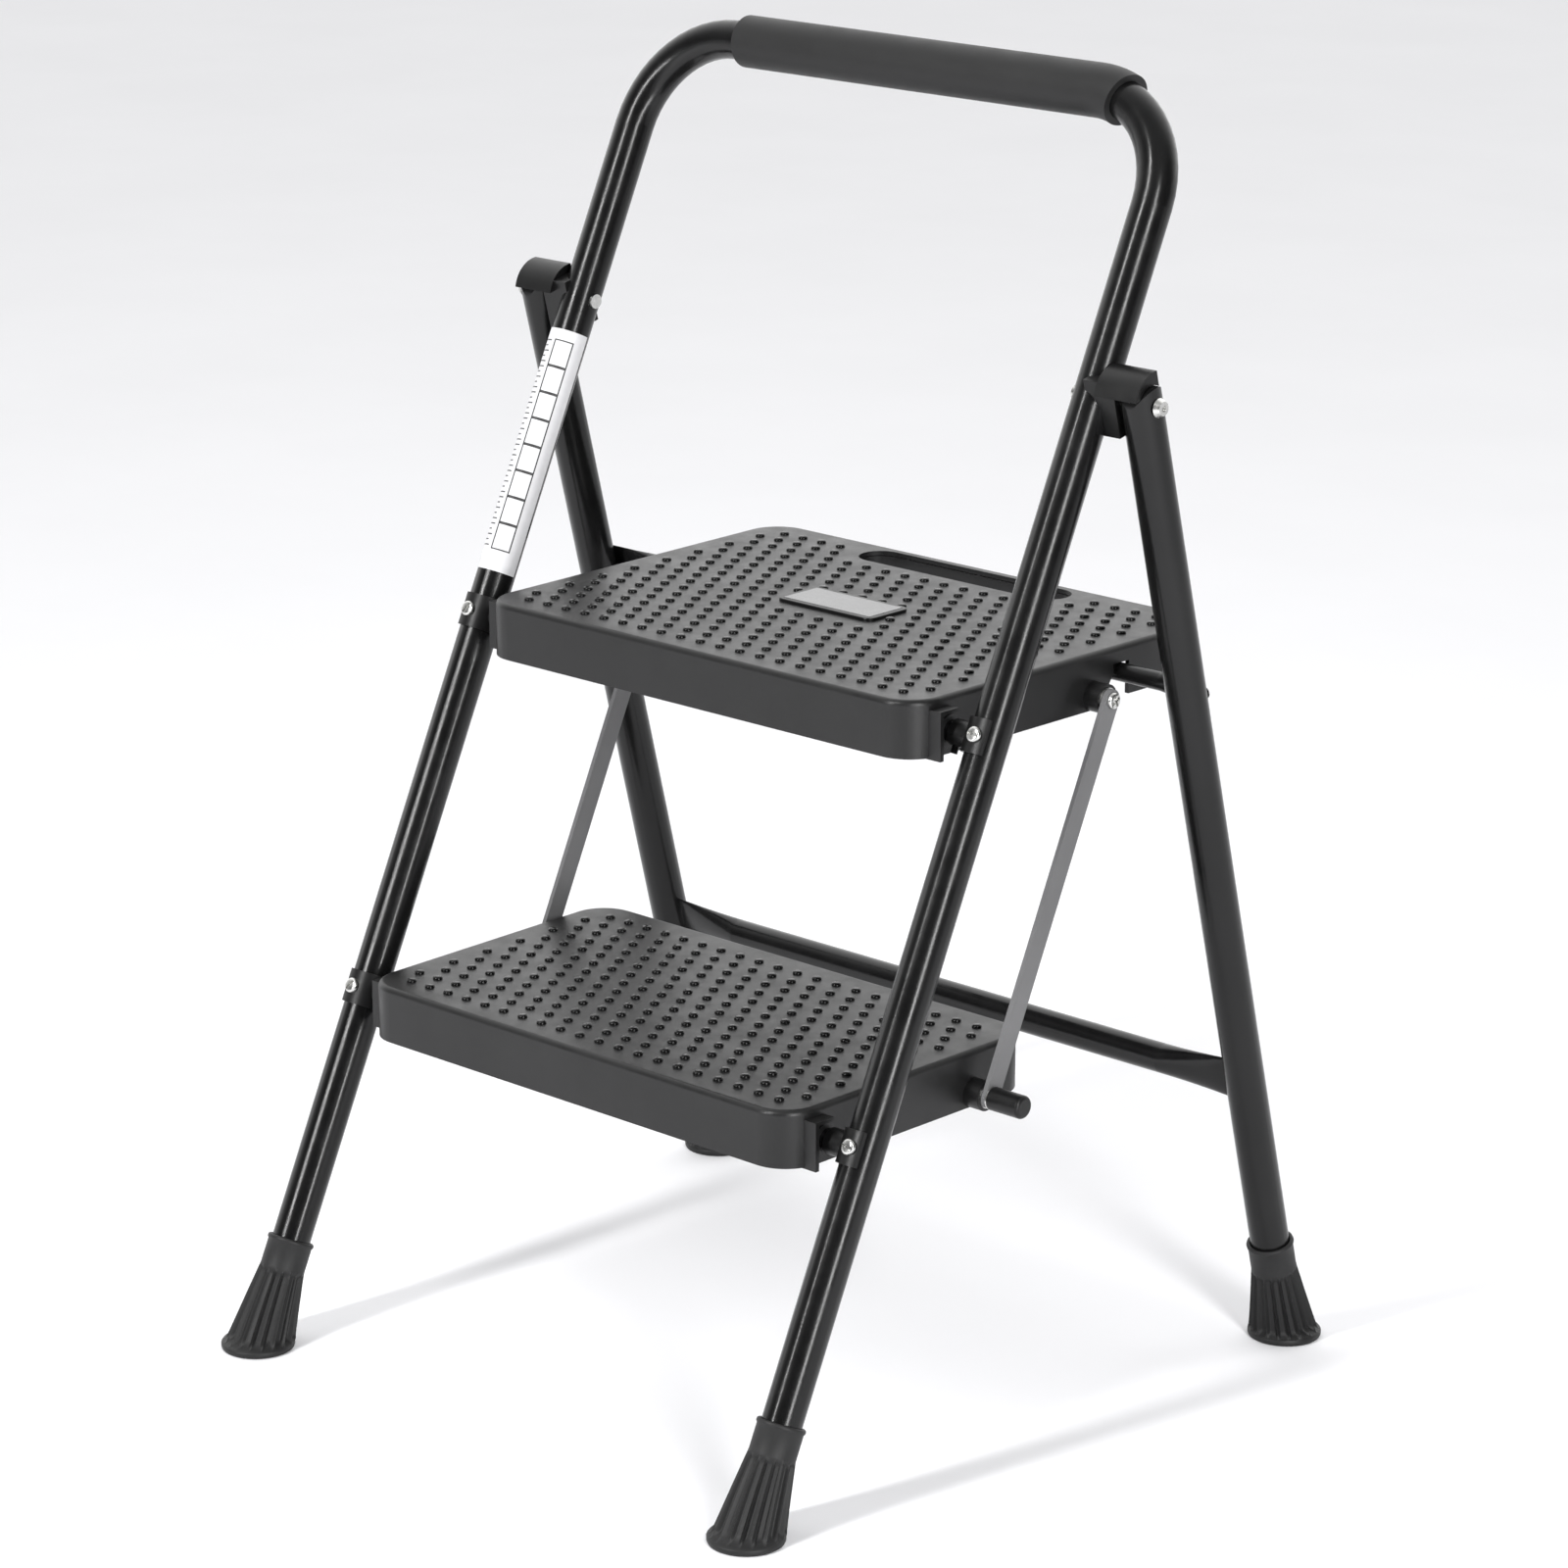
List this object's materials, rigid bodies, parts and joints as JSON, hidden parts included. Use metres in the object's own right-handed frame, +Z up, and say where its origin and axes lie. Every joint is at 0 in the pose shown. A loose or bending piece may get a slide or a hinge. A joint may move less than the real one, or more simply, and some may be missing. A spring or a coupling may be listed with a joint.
{
  "type": "folding two-step stepladder",
  "caption": "Folding steel stepladder with hollow plastic steps, a high handrail with a soft grip, and ribbed rubber boots; frame and steps fold together.",
  "frame": {"origin": "on the floor under the middle of the box that holds the open ladder", "axes": "+Z up, +Y from the side a person climbs on towards the rear legs, +X to that person's right"},
  "size_m": [0.561, 0.521, 0.8337],
  "materials": {
    "frame_paint": "satin",
    "step_plastic": "matte",
    "black_plastic": "satin",
    "badge_plastic": "gloss",
    "rubber": "matte",
    "zinc": "satin",
    "label_paper": "gloss"
  },
  "bodies": {
    "front_frame": {"front_tube_frame": "frame_paint", "handle_grip": "rubber", "front_boot_left": "rubber", "front_boot_right": "rubber", "hinge_bracket_left": "black_plastic", "hinge_bracket_right": "black_plastic", "hinge_bolts": "zinc", "hinge_nuts": "zinc", "upper_pivot_axle": "frame_paint", "lower_pivot_axle": "frame_paint", "upper_pivot_saddle_left": "black_plastic", "upper_pivot_saddle_right": "black_plastic", "lower_pivot_saddle_left": "black_plastic", "lower_pivot_saddle_right": "black_plastic", "pivot_screws": "zinc", "leg_label": "label_paper"},
    "rear_frame": {"rear_leg_left": "frame_paint", "rear_leg_right": "frame_paint", "rear_boot_left": "rubber", "rear_boot_right": "rubber", "rear_upper_crossbar": "frame_paint", "rear_lower_crossbar": "frame_paint", "crossbar_rivets": "zinc"},
    "top_step": {"top_tread": "step_plastic", "tread_badge": "badge_plastic", "link_screws": "zinc", "upper_link_washers": "zinc"},
    "lower_step": {"lower_tread": "step_plastic", "link_rod": "zinc", "rod_cap_left": "black_plastic", "rod_cap_right": "black_plastic", "lower_link_washers": "zinc"},
    "link_left": {"link_bar_left": "frame_paint"},
    "link_right": {"link_bar_right": "frame_paint"}
  },
  "joints": [
    {"name": "rear_fold", "type": "hinge", "parent": "front_frame", "child": "rear_frame", "pos_m": [0, 0.0699, 0.6482], "axis": [-1, 0, 0], "range_deg": [0, 32.5]},
    {"name": "top_step_fold", "type": "hinge", "parent": "front_frame", "child": "top_step", "pos_m": [0, -0.02298, 0.4517], "axis": [1, 0, 0], "range_deg": [0, 58]},
    {"name": "lower_step_fold", "type": "hinge", "parent": "front_frame", "child": "lower_step", "pos_m": [0, -0.13298, 0.219], "axis": [1, 0, 0], "range_deg": [0, 58]},
    {"name": "link_left_swing", "type": "hinge", "parent": "top_step", "child": "link_left", "pos_m": [-0.194, 0.11002, 0.4467], "axis": [1, 0, 0], "range_deg": [-58, 0]},
    {"name": "link_right_swing", "type": "hinge", "parent": "top_step", "child": "link_right", "pos_m": [0.2035, 0.11002, 0.4467], "axis": [1, 0, 0], "range_deg": [-58, 0]}
  ],
  "couplings": [
    {"joint": "top_step_fold", "follows": "rear_fold", "ratio": 1.7846},
    {"joint": "lower_step_fold", "follows": "rear_fold", "ratio": 1.7846},
    {"joint": "link_left_swing", "follows": "rear_fold", "ratio": -1.7846},
    {"joint": "link_right_swing", "follows": "rear_fold", "ratio": -1.7846}
  ]
}
